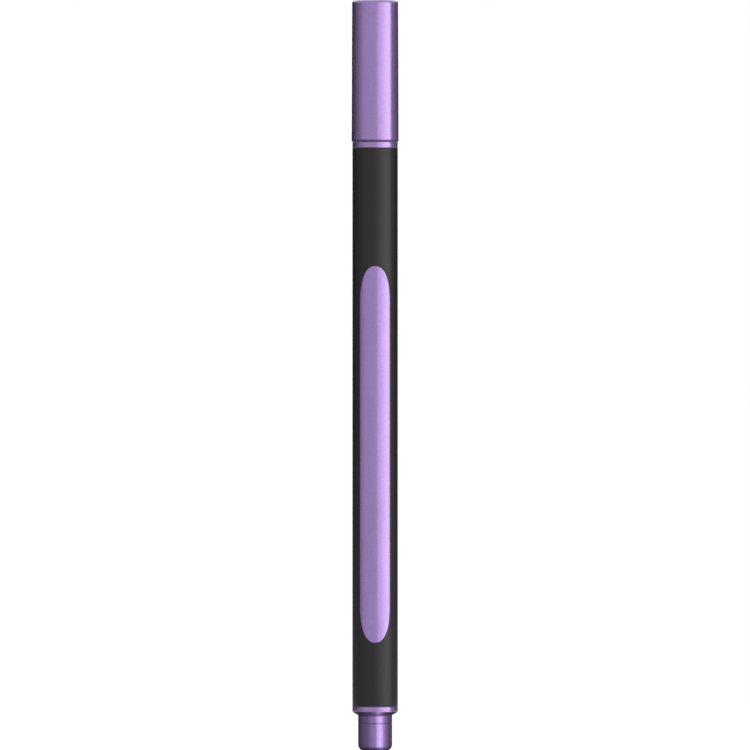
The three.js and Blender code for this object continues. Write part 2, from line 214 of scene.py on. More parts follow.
def swell(radius, rise, low, high, steps=12):
    """A low swelling of a wall: radius + rise (1 + cos pi s) / 2, s from -1 to 1 between two heights."""
    s = np.linspace(-1, 1, steps + 1)
    height = (low + high) / 2 + (high - low) / 2 * s
    return np.column_stack([radius + rise * (1 + np.cos(math.pi * s)) / 2, height])


def around_axis(angle, radius, height):
    """Points at an angle from the panel's side (-Y): x = r sin t, y = -r cos t, z = height."""
    angle, radius, height = np.broadcast_arrays(angle, radius, height)
    return np.stack([radius * np.sin(angle), -radius * np.cos(angle), height], axis=-1)


class Skin:
    """Grids of points and their faces, gathered for one mesh."""

    def __init__(self):
        self.points = []
        self.faces = []
        self.count = 0

    def add(self, points, faces):
        """Adds points with faces that number them from 0."""
        points = np.asarray(points, float).reshape(-1, 3)
        self.points.append(points)
        self.faces.extend((np.asarray(faces) + self.count).tolist())
        self.count += len(points)

    def grid(self, points, keep=None):
        """Adds a grid of rows by columns by 3. Each cell is one face, and keep says which cells."""
        rows, columns = points.shape[:2]
        corner = np.arange(rows * columns).reshape(rows, columns)
        cells = np.stack([corner[:-1, :-1], corner[:-1, 1:], corner[1:, 1:], corner[1:, :-1]], axis=-1)
        if keep is not None:
            cells = cells[keep]
        self.add(points, cells.reshape(-1, 4))

    def turned(self, profile, keep=None, groove=None):
        """A profile carried once round the axis. groove(profile, angles) adds to the radius."""
        angles = np.linspace(0, FULL_TURN, AROUND + 1)[None, :]
        radius = np.repeat(profile[:, :1], AROUND + 1, axis=1)
        if groove is not None:
            radius = radius + groove(profile, angles)
        self.grid(around_axis(angles, radius, profile[:, 1:2]), keep)

    def plate(self, outline, thickness, angle):
        """A flat plate: an outline of (radius, height), counter-clockwise, in the plane through the
        axis at an angle, with half the thickness on either side of it."""
        half = thickness / 2
        count = len(outline)
        out = np.array([math.sin(angle), -math.cos(angle), 0])
        side = np.array([math.cos(angle), math.sin(angle), 0])
        flat = outline[:, :1] * out + outline[:, 1:] * np.array([0, 0, 1])
        i = np.arange(count)
        after = (i + 1) % count
        self.add(
            np.concatenate([flat - half * side, flat + half * side]),
            np.column_stack([after, i, i + count, after + count]),
        )
        base = self.count - 2 * count
        self.faces.append((i + base).tolist())
        self.faces.append((i[::-1] + base + count).tolist())

    def plates(self, outline, thickness, number, first_angle):
        """The same plate a number of times, evenly round the axis."""
        for i in range(number):
            self.plate(outline, thickness, first_angle + FULL_TURN * i / number)


def piece(name, skin, body, node, material):
    """Makes the mesh of a skin, joins its seams and poles, and puts it in the CAD node's place."""
    mesh = bpy.data.meshes.new(name)
    mesh.from_pydata((np.concatenate(skin.points) * MM).tolist(), [], skin.faces)
    shell = bmesh.new()
    shell.from_mesh(mesh)
    bmesh.ops.remove_doubles(shell, verts=shell.verts, dist=1e-7)
    bmesh.ops.dissolve_degenerate(shell, edges=shell.edges, dist=1e-8)
    on_axis = [edge for edge in shell.edges if edge.is_wire]
    bmesh.ops.delete(shell, geom=on_axis, context="EDGES")
    shell.to_mesh(mesh)
    shell.free()
    mesh.shade_smooth()
    mesh.set_sharp_from_angle(angle=CREASE)
    mesh.materials.append(material)
    obj = bpy.data.objects.new(name, mesh)
    bpy.context.scene.collection.objects.link(obj)
    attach(obj, body)
    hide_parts(node)


def cap_profile(slot_in, slot_out):
    """The cup's wall: up the outside, over the top, then back along the inside. The top and the
    ceiling below it have rows at the air slots' edges."""
    top_radius = CAP_RADIUS - CAP_TAPER
    lip_top = CAP_LIP + CAP_LIP_ROUND_HEIGHT
    band_top = lip_top + CAP_LIP_BAND_LENGTH
    lip_inner = CAP_RADIUS - CAP_LIP_ROUND_DEPTH
    share = np.linspace(0, 1, 40)[:, None]
    side = (1 - share) * line((CAP_RADIUS, band_top)) + share * line((top_radius, CAP_TOP - CAP_TOP_ROUND))
    return np.concatenate([
        line((CAP_BORE + CAP_LEAD, CAP_LIP)),
        arc((lip_inner, lip_top), CAP_LIP_ROUND_DEPTH, CAP_LIP_ROUND_HEIGHT, -90, 0),
        swell(CAP_RADIUS, CAP_BAND_RADIUS - CAP_RADIUS, lip_top, band_top)[1:-1],
        side,
        arc((top_radius - CAP_TOP_ROUND, CAP_TOP - CAP_TOP_ROUND), CAP_TOP_ROUND, CAP_TOP_ROUND, 8, 90, 9),
        line((slot_out, CAP_TOP), (slot_in, CAP_TOP), (0, CAP_TOP)),
        line((0, INNER_CAP_TOP), (slot_in, INNER_CAP_TOP), (slot_out, INNER_CAP_TOP)),
        line((CAP_BORE - CAP_TAPER, INNER_CAP_TOP)),
        line((CAP_BORE, CAP_LIP + CAP_LEAD), (CAP_BORE + CAP_LEAD, CAP_LIP)),
    ])


def slot_walls(skin, middle, slot_in, slot_out):
    """The four walls of an air slot through the cap's top: two curved ones and two flat ends."""
    columns = round(VENT_ARC / FULL_TURN * AROUND) + 1
    turns = np.linspace(middle - VENT_ARC / 2, middle + VENT_ARC / 2, columns)
    corners = line(
        (slot_in, INNER_CAP_TOP), (slot_in, CAP_TOP), (slot_out, CAP_TOP), (slot_out, INNER_CAP_TOP)
    )
    for side in (corners[:2], corners[2:]):
        skin.grid(around_axis(turns[None, :], side[:, :1], side[:, 1:]))
    for turn, order in ((turns[0], (0, 1, 2, 3)), (turns[-1], (3, 2, 1, 0))):
        skin.add(around_axis(turn, corners[:, 0], corners[:, 1]), [order])


def cap_rib():
    """Outline of a rib: low beside the grip, and deep above the inner cap's flange, which it stops."""
    grasp = INNER_CAP_RADIUS + PRESS_CLEARANCE
    grasp_bottom = INNER_CAP_MOUTH + INNER_CAP_FLANGE_LENGTH + PRESS_CLEARANCE
    start = CAP_LIP + CAP_RIB_START
    root = CAP_BORE + RIB_ROOT
    return line(
        (CAP_RIB_RADIUS + CAP_LEAD, start),
        (root, start),
        (root, INNER_CAP_TOP + RIB_ROOT),
        (grasp, INNER_CAP_TOP + RIB_ROOT),
        (grasp, grasp_bottom),
        (CAP_RIB_RADIUS, grasp_bottom),
        (CAP_RIB_RADIUS, start + CAP_LEAD),
    )


def cap_skin():
    """A drafted cup turned round the axis, with air slots cut through its top and ribs inside."""
    slot_in = INNER_CAP_RADIUS + VENT_CLEARANCE
    slot_out = slot_in + VENT_WIDTH
    profile = cap_profile(slot_in, slot_out)
    pitch = FULL_TURN / VENTS
    columns = (np.arange(AROUND) + 0.5) * FULL_TURN / AROUND
    in_slot = np.abs(columns % pitch - pitch / 2) < VENT_ARC / 2
    at_top = (profile[:-1, 0] == slot_out) & (profile[:-1, 1] == CAP_TOP)
    at_ceiling = (profile[1:, 0] == slot_out) & (profile[1:, 1] == INNER_CAP_TOP)
    skin = Skin()
    skin.turned(profile, keep=~((at_top | at_ceiling)[:, None] & in_slot[None, :]))
    for i in range(VENTS):
        slot_walls(skin, pitch * (i + 0.5), slot_in, slot_out)
    skin.plates(cap_rib(), CAP_RIB_WIDTH, CAP_RIBS, math.pi / 2)
    return skin


def inner_cap_skin():
    """A sleeve closed on top, flanged at its mouth, turned round the axis."""
    flange = INNER_CAP_RADIUS + INNER_CAP_FLANGE
    flange_top = INNER_CAP_MOUTH + INNER_CAP_FLANGE_LENGTH
    inside_top = INNER_CAP_TOP - INNER_CAP_END_WALL
    edge = INNER_CAP_EDGE
    bend = INNER_CAP_ROUND
    skin = Skin()
    skin.turned(np.concatenate([
        line((SEAL_BORE + CAP_LEAD, INNER_CAP_MOUTH)),
        arc((flange - edge, INNER_CAP_MOUTH + edge), edge, edge, -90, 0, 4),
        arc((flange - edge, flange_top - edge), edge, edge, 0, 90, 4),
        line((INNER_CAP_RADIUS, flange_top)),
        arc((INNER_CAP_RADIUS - bend, INNER_CAP_TOP - bend), bend, bend, 0, 90, 5),
        line((0, INNER_CAP_TOP), (0, inside_top)),
        arc((SEAL_BORE - bend, inside_top - bend), bend, bend, 90, 0, 5),
        line((SEAL_BORE, INNER_CAP_MOUTH + CAP_LEAD), (SEAL_BORE + CAP_LEAD, INNER_CAP_MOUTH)),
    ]))
    return skin


def front_section_skin():
    """Spigot, collar, grip, shoulder, land and nose as one profile turned round the axis.
    Three air grooves deepen the nose's bore where |t - t_k| r is less than half their width."""
    bore = NIB_RADIUS + NIB_CLEARANCE
    nose_radius = bore + NOSE_WALL
    relief = SPIGOT_RADIUS - SPIGOT_RELIEF
    middle = (SPIGOT_BOTTOM + BARREL_TOP) / 2
    relief_bottom = middle - SPIGOT_RELIEF_LENGTH / 2
    relief_top = middle + SPIGOT_RELIEF_LENGTH / 2
    bead = COLLAR_TOP + SNAP_START
    grip_end = GRIP_RADIUS - GRIP_TAPER
    hollow = GRIP_RADIUS - GRIP_WALL
    hollow_top = GRIP_TOP - NIB_SUPPORT
    edge = COLLAR_EDGE
    fillet = GRIP_FILLET
    profile = np.concatenate([
        line((RESERVOIR_WAY, SPIGOT_BOTTOM), (SPIGOT_RADIUS - INSERT_LEAD, SPIGOT_BOTTOM)),
        line((SPIGOT_RADIUS, SPIGOT_BOTTOM + INSERT_LEAD), (SPIGOT_RADIUS, relief_bottom)),
        line((relief, relief_bottom + SPIGOT_RELIEF), (relief, relief_top - SPIGOT_RELIEF)),
        line((SPIGOT_RADIUS, relief_top), (SPIGOT_RADIUS, BARREL_TOP)),
        arc((COLLAR_RADIUS - edge, BARREL_TOP + edge), edge, edge, -90, 0, 6),
        arc((COLLAR_RADIUS - edge, COLLAR_TOP - edge), edge, edge, 0, 90, 6),
        arc((GRIP_RADIUS + fillet, COLLAR_TOP + fillet), fillet, fillet, -90, -180, 4),
        line((GRIP_RADIUS, bead)),
        arc((GRIP_RADIUS, bead + SNAP_LENGTH / 2), SNAP_RISE, SNAP_LENGTH / 2, -75, 75, 8),
        line((GRIP_RADIUS, bead + SNAP_LENGTH)),
        arc((LAND_RADIUS, GRIP_TOP), grip_end - LAND_RADIUS, SHOULDER_LENGTH, 0, 90, 14),
        line((LAND_RADIUS, LAND_TOP - WALL_ROW)),
        arc((nose_radius, LAND_TOP), LAND_RADIUS - nose_radius, NOSE_LENGTH / 2, 4, 80, 10),
        line((nose_radius, NOSE_TIP - NOSE_EDGE)),
        arc((nose_radius - NOSE_EDGE, NOSE_TIP - NOSE_EDGE), NOSE_EDGE, NOSE_EDGE, 0, 90, 4),
        line((bore, NOSE_TIP), (bore, hollow_top)),
        line((hollow, hollow_top - (hollow - bore)), (hollow, BARREL_TOP)),
        line((RESERVOIR_WAY, BARREL_TOP), (RESERVOIR_WAY, SPIGOT_BOTTOM)),
    ])

    def grooves(rows, angles):
        pitch = FULL_TURN / AIR_GROOVES
        off_middle = np.abs(angles % pitch - pitch / 2) * bore
        return AIR_GROOVE_DEPTH * (rows[:, :1] == bore) * (off_middle < AIR_GROOVE_WIDTH / 2)

    skin = Skin()
    skin.turned(profile, groove=grooves)
    return skin


def nib_skin():
    """A round rod with a bullet point: radius r cos a at height h sin a over the point's length."""
    shoulder = NIB_TIP - NIB_POINT_LENGTH
    skin = Skin()
    skin.turned(np.concatenate([
        line((0, NIB_TAIL), (NIB_RADIUS / 2, NIB_TAIL), (NIB_RADIUS, NIB_TAIL + NIB_TAIL_CONE)),
        line((NIB_RADIUS, NOSE_TIP), (NIB_RADIUS, NOSE_TIP + NIB_ROW)),
        arc((0, shoulder), NIB_RADIUS, NIB_POINT_LENGTH, 0, 90, 24),
    ]))
    return skin


def plug_fin(insert_bore):
    """Outline of a fin across the whole insert: held in the insert's wall, narrower above it."""
    grasp = insert_bore + RIB_ROOT
    shoulder = INSERT_TOP - INSERT_LEAD
    return line(
        (-grasp, INSERT_TOP - FIN_FOOT),
        (grasp, INSERT_TOP - FIN_FOOT),
        (grasp, shoulder),
        (FILM_RADIUS, INSERT_TOP),
        (FILM_RADIUS, FIN_TOP),
        (-FILM_RADIUS, FIN_TOP),
        (-FILM_RADIUS, INSERT_TOP),
        (-grasp, shoulder),
    )


def end_plug_skin():
    """Stub with a rounded end and a fine line, chamfered flange and insert, with crossed fins."""
    foot = POST_RADIUS - POST_END_ROUND
    half_line = POST_LINE_WIDTH / 2
    chamfer_top = POST_LENGTH + CHAMFER_HEIGHT
    tilt = math.atan2(PLUG_RADIUS - POST_RADIUS, CHAMFER_HEIGHT)
    corner = CHAMFER_EDGE
    corner_level = chamfer_top + corner * math.tan(tilt / 2)
    fillet = POST_FILLET
    insert_bore = SPIGOT_RADIUS - INSERT_WALL
    stub_bore = POST_RADIUS - POST_WALL
    edge = FLANGE_EDGE
    skin = Skin()
    skin.turned(np.concatenate([
        line((0, PLUG_BOTTOM)),
        arc((foot, POST_END_ROUND), POST_END_ROUND, POST_END_ROUND, -90, 0, 16),
        line((POST_RADIUS, POST_LINE_HEIGHT - half_line)),
        line((POST_RADIUS - POST_LINE_DEPTH, POST_LINE_HEIGHT - half_line / 2)),
        line((POST_RADIUS - POST_LINE_DEPTH, POST_LINE_HEIGHT + half_line / 2)),
        line((POST_RADIUS, POST_LINE_HEIGHT + half_line)),
        arc((POST_RADIUS + fillet, POST_LENGTH - fillet), fillet, fillet, 180, 110, 3),
        arc((PLUG_RADIUS - corner, corner_level), corner, corner, -math.degrees(tilt), 0),
        line((PLUG_RADIUS, corner_level + WALL_ROW)),
        arc((PLUG_RADIUS - edge, BARREL_BOTTOM - edge), edge, edge, 0, 90, 4),
        line((SPIGOT_RADIUS, BARREL_BOTTOM), (SPIGOT_RADIUS, INSERT_TOP - INSERT_LEAD)),
        line((SPIGOT_RADIUS - INSERT_LEAD, INSERT_TOP), (insert_bore, INSERT_TOP)),
        line((insert_bore, BARREL_BOTTOM), (stub_bore, BARREL_BOTTOM - (insert_bore - stub_bore))),
        line((stub_bore, POST_END_WALL), (0, POST_END_WALL)),
    ]))
    for angle in (0, math.pi / 2):
        skin.plate(plug_fin(insert_bore), FIN_THICKNESS, angle)
    return skin


def pill_rows(grow, per_end=22, between=30):
    """Heights and half angles of a pill drawn on the barrel: at both ends the height is L cos t
    and the half width W sin t to a power, with straight sides between. grow widens it all round."""
    half = (PANEL_WIDTH / 2 + grow) / BARREL_RADIUS
    length = PANEL_END_LENGTH + grow
    t = np.linspace(0, math.pi / 2, per_end + 1)
    low = PANEL_BOTTOM + PANEL_END_LENGTH
    high = PANEL_TOP - PANEL_END_LENGTH
    straight = np.linspace(low, high, between + 1)[1:-1]
    height = np.concatenate([low - length * np.cos(t), straight, high + length * np.cos(t[::-1])])
    end = half * np.sin(t) ** PANEL_TIP_POWER
    width = np.concatenate([end, np.full(len(straight), half), end[::-1]])
    width[[0, -1]] = 0
    return height[:, None], width[:, None]


def across_pill(width, insets, radii):
    """Angles and radii across the pill: each column lies an inset inside the left or right edge,
    never past the middle, and fractions between them fill the face."""
    steps = np.minimum(np.array(insets)[None, :] / BARREL_RADIUS, width)
    left = -(width - steps)
    fill = np.linspace(-1, 1, FACE_COLUMNS)[None, 1:-1] * (width - steps[:, -1:])
    angle = np.concatenate([left, fill, -left[:, ::-1]], axis=1)
    radius = np.concatenate([radii, np.full(fill.shape[1], radii[-1]), radii[::-1]])
    return angle, np.broadcast_to(radius[None, :], angle.shape)


def barrel_skin():
    """A tube whose outer wall is split along the panel: column s of a row lies at the angle
    w + s (2 pi - 2 w), where w is the bed's half angle at that height. The bed is a second grid."""
    edge = BARREL_EDGE
    height, width = pill_rows(PANEL_GAP)
    low = BARREL_BOTTOM + edge
    high = BARREL_TOP - edge
    below = np.linspace(low, height[0, 0], 8)[1:-1]
    above = np.linspace(height[-1, 0], high, 10)[1:-1]
    foot = np.concatenate([
        line((BARREL_BORE, BARREL_BOTTOM)),
        arc((BARREL_RADIUS - edge, low), edge, edge, -90, 0, 5),
        wall(BARREL_RADIUS, below),
    ])
    profile = np.concatenate([
        foot,
        wall(BARREL_RADIUS, height[:, 0]),
        wall(BARREL_RADIUS, above),
        arc((BARREL_RADIUS - edge, high), edge, edge, 0, 90, 5),
        line((BARREL_BORE, BARREL_TOP), (BARREL_BORE, BARREL_BOTTOM)),
    ])
    split = np.zeros((len(profile), 1))
    split[len(foot):len(foot) + len(width)] = width
    s = np.linspace(0, 1, AROUND + 1)[None, :]
    skin = Skin()
    skin.grid(around_axis(split + s * (FULL_TURN - 2 * split), profile[:, :1], profile[:, 1:]))
    floor = BARREL_RADIUS - PANEL_THICKNESS - PANEL_GAP
    angle, radius = across_pill(width, [0, 0, 0], [BARREL_RADIUS, (BARREL_RADIUS + floor) / 2, floor])
    skin.grid(around_axis(angle, radius, height))
    rib_bottom = INSERT_TOP + BARREL_RIB_SETBACK
    rib_top = SPIGOT_BOTTOM - BARREL_RIB_SETBACK
    root = BARREL_BORE + RIB_ROOT
    rib = line((RESERVOIR_WAY, rib_bottom), (root, rib_bottom), (root, rib_top), (RESERVOIR_WAY, rib_top))
    skin.plates(rib, BARREL_RIB_WIDTH, BARREL_RIBS, math.pi / 2)
    return skin


def panel_skin():
    """The pill as a thin curved slab: its face at the barrel's radius, with edges rounded by
    radius R - e (1 - cos a), its back a thickness below."""
    height, width = pill_rows(0)
    e = PANEL_EDGE
    a = np.linspace(90, 0, 5)
    insets = e * (1 - np.sin(np.radians(a)))
    radii = BARREL_RADIUS - e * (1 - np.cos(np.radians(a)))
    face_angle, face_radius = across_pill(width, insets, radii)
    back = BARREL_RADIUS - PANEL_THICKNESS
    back_angle, back_radius = across_pill(width, [0], [back])
    angle = np.concatenate([face_angle, back_angle[:, ::-1], face_angle[:, :1]], axis=1)
    radius = np.concatenate([face_radius, back_radius, face_radius[:, :1]], axis=1)
    skin = Skin()
    skin.grid(around_axis(angle, radius, height))
    return skin


# Finishes

BAND_SOFTNESS = 0.04
FLAKES_PER_MM = 24.0

# Bands of painted shade, dark lines at the cap's lip, the collar's lower edge, the stub's corner under the
# chamfer, its fine line and the flange's upper edge: lowest and highest height in millimetres, and how
# dark from 0 to 1
CAP_LIP_PAINTED_SHADE = (CAP_LIP - 1, CAP_LIP + CAP_LIP_LINE, 1)
COLLAR_PAINTED_SHADE = (BARREL_TOP - 0.1, BARREL_TOP + 0.12, 0.3)
POST_LINE_PAINTED_SHADE = (POST_LINE_HEIGHT - 0.14, POST_LINE_HEIGHT + 0.14, 0.35)
POST_CORNER_PAINTED_SHADE = (POST_LENGTH - 0.22, POST_LENGTH + 0.02, 0.85)
FLANGE_PAINTED_SHADE = (BARREL_BOTTOM - 0.18, BARREL_BOTTOM + 0.1, 0.55)


class Socket:
    """A number in a material, so that Python sums on it add Math nodes."""

    def __init__(self, finish, output):
        self.finish = finish
        self.output = output

    def _sum(self, operation, *terms):
        return self.finish.node("ShaderNodeMath", {"operation": operation}, dict(enumerate(terms)))

    def __add__(self, other):
        return self._sum("ADD", self, other)

    __radd__ = __add__

    def __sub__(self, other):
        return self._sum("SUBTRACT", self, other)

    def __rsub__(self, other):
        return self._sum("SUBTRACT", other, self)

    def __mul__(self, other):
        return self._sum("MULTIPLY", self, other)

    __rmul__ = __mul__


class Finish:
    """One node material or world. node() adds any node: its type, settings and socket values."""

    def __init__(self, owner):
        owner.use_nodes = True
        self.owner = owner
        self.tree = owner.node_tree
        self.tree.nodes.clear()

    def node(self, kind, settings=None, sockets=None, output=0):
        """Adds a node and returns one of its outputs."""
        made = self.tree.nodes.new(kind)
        for name, value in (settings or {}).items():
            if name == "stops":
                self.set_stops(made.color_ramp, value)
            else:
                setattr(made, name, value)
        for name, value in (sockets or {}).items():
            if isinstance(value, Socket):
                self.tree.links.new(value.output, made.inputs[name])
            else:
                made.inputs[name].default_value = value
        return Socket(self, made.outputs[output]) if made.outputs else None

    @staticmethod
    def set_stops(ramp, stops):
        """Gives a ramp grey stops of (place, level)."""
        while len(ramp.elements) < len(stops):
            ramp.elements.new(0.5)
        for element, (place, level) in zip(ramp.elements, stops):
            element.position = place
            element.color = (level, level, level, 1)

    def ramp(self, factor, *stops):
        """A number that follows a factor through stops of (place, level)."""
        return self.node("ShaderNodeValToRGB", {"stops": stops}, {"Fac": factor})

    def mix(self, factor, first, second):
        """Two colours mixed by a factor."""
        return self.node(
            "ShaderNodeMix",
            {"data_type": "RGBA"},
            {0: factor, 6: rgba(first), 7: rgba(second)},
            output=2,
        )

    def place(self, scale=(1, 1, 1)):
        """Object coordinates in millimetres, stretched by a scale."""
        here = self.node("ShaderNodeTexCoord", output="Object")
        per_metre = [v / MM for v in scale]
        return self.node(
            "ShaderNodeMapping", {"vector_type": "POINT"}, {"Vector": here, "Scale": per_metre}
        )

    def noise(self, where, per_mm, detail, roughness=0.5):
        """Cloudy noise from 0 to 1, with so many waves a millimetre."""
        sockets = {"Vector": where, "Scale": per_mm, "Detail": detail, "Roughness": roughness}
        return self.node("ShaderNodeTexNoise", {}, sockets)

    def bump(self, height, depth_mm, strength):
        """A normal that leans as if a height from 0 to 1 were so many millimetres."""
        return self.node(
            "ShaderNodeBump", {}, {"Height": height, "Distance": depth_mm * MM, "Strength": strength}
        )

    def shade(self, **sockets):
        """Ends the material in a Principled shader with these sockets."""
        named = {name.replace("_", " "): value for name, value in sockets.items()}
        shader = self.node("ShaderNodeBsdfPrincipled", {}, named)
        self.node("ShaderNodeOutputMaterial", {}, {"Surface": shader})
        return self.owner


def rgba(colour):
    """A colour as a socket takes it, with full alpha."""
    return colour if isinstance(colour, Socket) else (*colour, 1)


def new_finish(name):
    """A new, empty material."""
    return Finish(bpy.data.materials.new(name))


def painted_shade_mask(f, here, bands):
    """1 on the bright skin, less in bands of painted shade of (lowest height, highest height, darkness) in
    millimetres.
    """
    height = f.node("ShaderNodeSeparateXYZ", {}, {"Vector": here}, output="Z")
    bright = 1.0
    for low, high, darkness in bands:
        off_middle = f.node("ShaderNodeMath", {"operation": "ABSOLUTE"}, {0: height - (low + high) / 2})
        bright = bright * f.node("ShaderNodeMapRange", {}, {
            "Value": off_middle,
            "From Min": (high - low) / 2 - BAND_SOFTNESS,
            "From Max": (high - low) / 2 + BAND_SOFTNESS,
            "To Min": 1 - darkness,
        })
    return bright


def metallic_plastic(name, painted_shade_bands):
    """Moulded purple plastic: bright flake in clear purple, slow flow marks along the pen, and a
    satin skin with a fine orange-peel. In the bands of painted shade it is dark, without metal or
    gloss, to paint shade lines at edges and joints."""
    f = new_finish(name)
    here = f.place()
    flow = f.noise(f.place((0.5, 0.5, 0.09)), 1.0, 3.0)
    cells = {"Vector": here, "Scale": FLAKES_PER_MM}
    cell = f.node("ShaderNodeTexVoronoi", {"feature": "F1"}, cells, output="Color")
    tilt = f.node("ShaderNodeSeparateColor", {}, {"Color": cell})
    flake = f.ramp(tilt, (0.55, 0), (0.95, 1))
    colour = f.mix(f.ramp(flow, (0.3, 0), (0.7, 1)) * 0.35, PURPLE, PURPLE_DEEP)
    colour = f.mix(flake * 0.18, colour, PURPLE_LIGHT)
    peel = f.noise(here, 1.1, 2.0)
    grain = f.noise(here, 9.0, 3.0)
    # bright falls below 1 in the painted shade bands, where colour, metal and coat are taken down.
    bright = painted_shade_mask(f, here, painted_shade_bands)
    return f.shade(
        Base_Color=f.mix(bright, PURPLE_PAINTED_SHADE, colour),
        Metallic=(0.65 + flake * 0.08) * bright,
        Roughness=0.2 + grain * 0.08 + flow * 0.05,
        Normal=f.bump(peel + tilt * 0.05, 0.004, 0.5),
        Coat_Weight=bright,
        Coat_IOR=1.62,
        Coat_Roughness=0.15,
        Specular_IOR_Level=0.5,
    )


def black_plastic(name):
    """Extruded black plastic: satin, with faint draw lines along the pen and a fine grain."""
    f = new_finish(name)
    draw = f.noise(f.place((6.0, 6.0, 0.05)), 1.0, 4.0)
    grain = f.noise(f.place(), 7.0, 3.0)
    slow = f.noise(f.place((0.2, 0.2, 0.05)), 1.0, 2.0)
    colour = f.mix(f.ramp(slow, (0.35, 0), (0.7, 1)) * 0.5, BLACK, tuple(v * 1.35 for v in BLACK))
    return f.shade(
        Base_Color=colour,
        Roughness=0.33 + grain * 0.08 + draw * 0.06,
        Normal=f.bump(draw * 0.8 + grain * 0.3, 0.006, 0.6),
        Specular_IOR_Level=0.36,
    )


def natural_plastic(name):
    """Unpigmented soft plastic, slightly cloudy."""
    f = new_finish(name)
    cloud = f.noise(f.place(), 0.6, 3.0)
    grain = f.noise(f.place(), 8.0, 2.0)
    colour = f.mix(cloud, NATURAL, tuple(v * 0.86 for v in NATURAL))
    return f.shade(
        Base_Color=colour,
        Roughness=0.42 + grain * 0.1,
        Normal=f.bump(grain, 0.008, 0.5),
        Subsurface_Weight=0.2,
        Subsurface_Scale=0.0006,
    )


def stained_fibre(name, light, dark):
    """Bonded fibres that run along the pen, stained unevenly by the ink."""
    f = new_finish(name)
    fibre = f.noise(f.place((9.0, 9.0, 0.5)), 1.0, 5.0, 0.65)
    speck = f.noise(f.place(), 5.0, 3.0)
    colour = f.mix(f.ramp(fibre, (0.35, 0), (0.65, 1)), light, dark)
    return f.shade(
        Base_Color=f.mix(speck * 0.35, colour, PURPLE_LIGHT),
        Roughness=0.72 + fibre * 0.2,
        Metallic=0.15 + speck * 0.2,
        Normal=f.bump(fibre + speck * 0.4, 0.05, 0.8),
    )


def film_plastic(name):
    """Thin film, wrinkled a little round the rod."""
    f = new_finish(name)
    wrinkle = f.noise(f.place((1.2, 1.2, 0.2)), 1.0, 3.0)
    return f.shade(
        Base_Color=f.mix(wrinkle, FILM_PALE, FILM_GREY),
        Roughness=0.22 + wrinkle * 0.12,
        Normal=f.bump(wrinkle, 0.05, 0.6),
    )


# The cap, grip section and rear plug carry bands of painted shade at their edges and joints.
CAP_PLASTIC = metallic_plastic("cap_purple_plastic", [CAP_LIP_PAINTED_SHADE])
SECTION_PLASTIC = metallic_plastic("section_purple_plastic", [COLLAR_PAINTED_SHADE])
PANEL_PLASTIC = metallic_plastic("panel_purple_plastic", [])
PLUG_PLASTIC = metallic_plastic("plug_purple_plastic", [POST_LINE_PAINTED_SHADE, POST_CORNER_PAINTED_SHADE, FLANGE_PAINTED_SHADE])
BLACK_PLASTIC = black_plastic("satin_black_plastic")
NATURAL_PLASTIC = natural_plastic("natural_plastic")
NIB_FIBRE = stained_fibre("nib_fibre", INK_LIGHT, INK_DARK)
ROD_FIBRE = stained_fibre("reservoir_fibre", ROD_LIGHT, INK_LIGHT)
FILM = film_plastic("reservoir_film_plastic")

piece("cap", cap_skin(), "cap", "cap_shell", CAP_PLASTIC)
piece("cap_liner", inner_cap_skin(), "cap", "inner_cap", NATURAL_PLASTIC)
piece("grip_section", front_section_skin(), "pen", "front_section", SECTION_PLASTIC)
piece("fibre_tip", nib_skin(), "pen", "nib", NIB_FIBRE)
piece("black_barrel", barrel_skin(), "pen", "barrel", BLACK_PLASTIC)
piece("purple_panel", panel_skin(), "pen", "colour_panel", PANEL_PLASTIC)
piece("rear_plug", end_plug_skin(), "pen", "end_plug", PLUG_PLASTIC)


def finish_cad_node(node, material):
    """Gives a node that keeps its CAD mesh a material."""
    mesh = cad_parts[node].data
    mesh.materials.clear()
    mesh.materials.append(material)


finish_cad_node("ink_reservoir", ROD_FIBRE)
finish_cad_node("reservoir_film", FILM)


# Studio

# The floor's size and the cards' height over it in metres, its glow and grey, and the world's light
FLOOR_SIZE = 60.0
CARD_LIFT = 0.01 * MM
FLOOR_GLOW = 0.88
FLOOR_DIFFUSE = 0.35
AMBIENT = 0.38

# Azimuths round the marker in degrees, 0 at the camera's side and 90 at +X. Each soft box has the
# azimuth where it begins and its radiance, and all end at one azimuth, so their light adds up there.
# Their distance from the axis, height and level are in metres.
SOFT_BOXES = ((13, 0.85), (34, 0.5), (52, 0.55))
BOXES_END = 83
SOFT_BOX_DISTANCE = 0.6
SOFT_BOX_HEIGHT = 0.7
SOFT_BOX_LEVEL = 0.36

# What gloss meets all round: where its white and its dark begin, in degrees, and how it falls
WHITE_FROM = -56
LEFT_FALL = 2.4
RIGHT_GREY = 0.45
RIGHT_FALL = 2
DARK_FROM = 165
REAR_STRIP = 1.5

# The upright gloss cards, in metres. One of smaller radius stands above the soft boxes.
SCREEN_COLUMNS = 60
SCREEN_RADIUS = 0.9
SCREEN_HEIGHT = 0.4
TOP_CARD_RADIUS = 0.55
TOP_CARD_BOTTOM = 0.27
TOP_CARD_TOP = 0.46

# Rings of the gloss card on the floor: radius in millimetres, share of its level, how far whitened. The
# lower shares near the foot are a painted contact shadow.
FLOOR_RINGS = ((5, 0.5, 0), (20, 0.8, 0), (60, 1, 1), (250, 1, 1), (550, 1, 0), (900, 1, 0))
FLOOR_WHITE = 0.8

